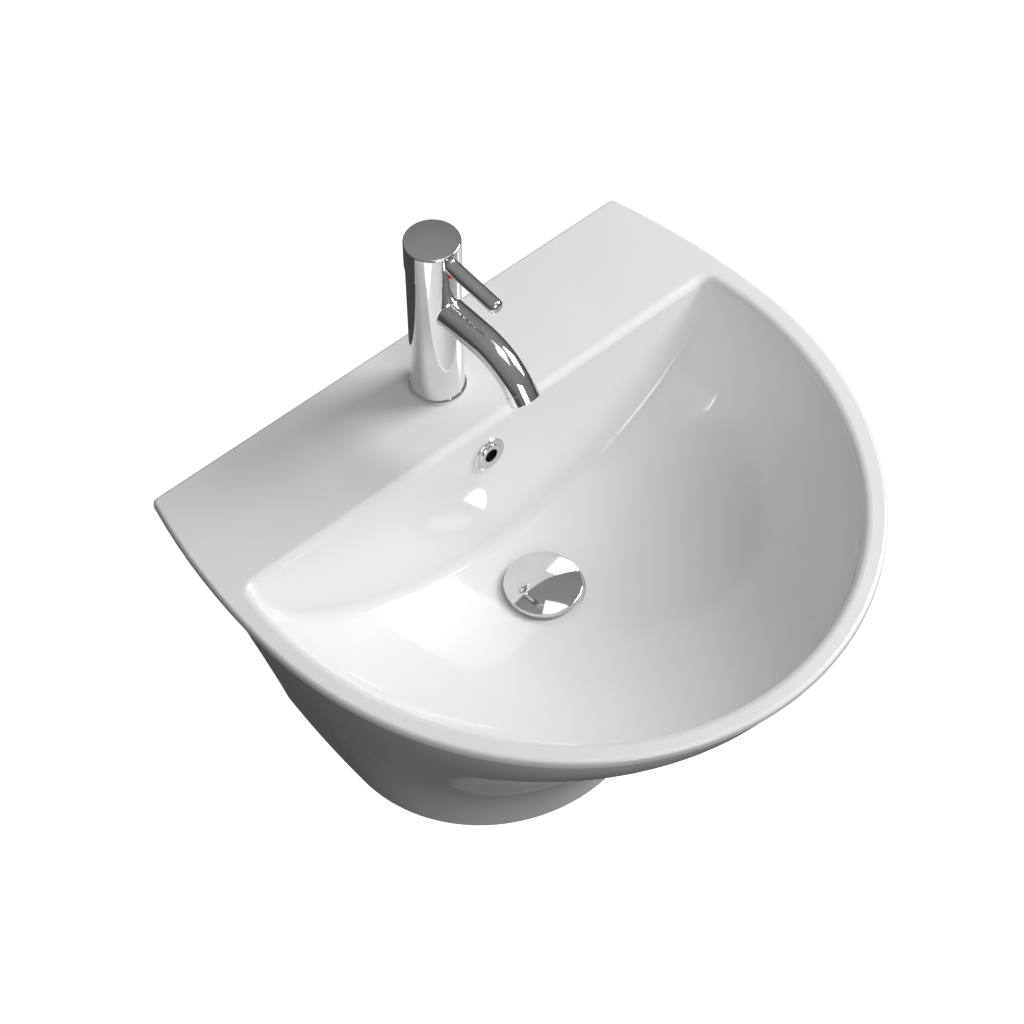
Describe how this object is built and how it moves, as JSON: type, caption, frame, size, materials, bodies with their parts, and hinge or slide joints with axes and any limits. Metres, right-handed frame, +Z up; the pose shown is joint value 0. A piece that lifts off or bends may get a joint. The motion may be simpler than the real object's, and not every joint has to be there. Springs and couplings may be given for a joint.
{
  "type": "wall-hung basin",
  "caption": "Wall-hung D-shaped ceramic basin with bottle trap shroud in one piece, single-lever mixer, overflow and click-clack waste.",
  "frame": {"origin": "midway between the two wall fixing holes, on the wall's plane", "axes": "+Z up, +Y into the wall, so the front of the basin is to -Y; X along the wall"},
  "size_m": [0.51, 0.483, 0.5233],
  "materials": {
    "sanitary_china": "glossy white glaze",
    "polished_chrome": "polished chrome plate on brass",
    "bare_brass": "turned brass, unplated",
    "steel": "zinc plated steel",
    "black_rubber": "matt black rubber",
    "white_seal": "matt white rubber",
    "technical_ceramic": "lapped alumina",
    "grey_plastic": "moulded grey plastic",
    "white_plastic": "moulded white plastic",
    "index_enamel": "half red, half blue enamel"
  },
  "bodies": {
    "basin": {"aerator_insert": "white_plastic", "aerator_seal": "black_rubber", "aerator_sleeve": "polished_chrome", "basin_body": "sanitary_china", "cartridge_housing": "white_plastic", "cartridge_nut": "bare_brass", "cartridge_seals": "black_rubber", "dome_cover": "polished_chrome", "fixed_disc": "technical_ceramic", "fixing_gasket": "black_rubber", "fixing_nut": "bare_brass", "fixing_stud": "steel", "fixing_washer": "steel", "overflow_ring": "polished_chrome", "tap_base_ring": "polished_chrome", "tap_base_seal": "black_rubber", "tap_body": "polished_chrome", "trap_body": "polished_chrome", "trap_cup": "polished_chrome", "trap_cup_seal": "black_rubber", "trap_inlet_nut": "polished_chrome", "trap_inlet_seal": "black_rubber", "trap_inlet_tube": "polished_chrome", "trap_outlet_nut": "polished_chrome", "trap_outlet_pipe": "polished_chrome", "trap_outlet_seal": "black_rubber", "trap_top_nut": "polished_chrome", "trap_top_seal": "black_rubber", "trap_wall_flange": "polished_chrome", "waste_backnut": "bare_brass", "waste_body": "polished_chrome", "waste_latch": "grey_plastic", "waste_lower_seal": "black_rubber", "waste_top_seal": "white_seal"},
    "mixer": {"cartridge_rotor": "white_plastic", "pivot_pin": "steel"},
    "handle": {"handle_hub": "polished_chrome", "lever": "polished_chrome", "handle_set_screw": "steel", "index_button": "index_enamel", "cartridge_spindle": "bare_brass"},
    "disc": {"moving_disc": "technical_ceramic", "disc_carrier": "white_plastic"},
    "plug": {"waste_cap": "polished_chrome", "waste_cap_seal": "black_rubber", "waste_plunger": "bare_brass"}
  },
  "joints": [
    {"name": "temperature_turn", "type": "hinge", "parent": "basin", "child": "mixer", "pos_m": [0, -0.0564, 0.222], "axis": [0, 0, 1], "range_deg": [-45, 45]},
    {"name": "flow_lift", "type": "hinge", "parent": "mixer", "child": "handle", "pos_m": [0, -0.0564, 0.222], "axis": [-1, 0, 0], "range_deg": [0, 22]},
    {"name": "disc_slide", "type": "slide", "parent": "mixer", "child": "disc", "axis": [0, -1, 0], "range_m": [0, 0.0031]},
    {"name": "cap_lift", "type": "slide", "parent": "basin", "child": "plug", "axis": [0, 0, 1], "range_m": [0, 0.009]}
  ],
  "couplings": [
    {"joint": "disc_slide", "follows": "flow_lift", "m_per_rad": 0.008}
  ]
}
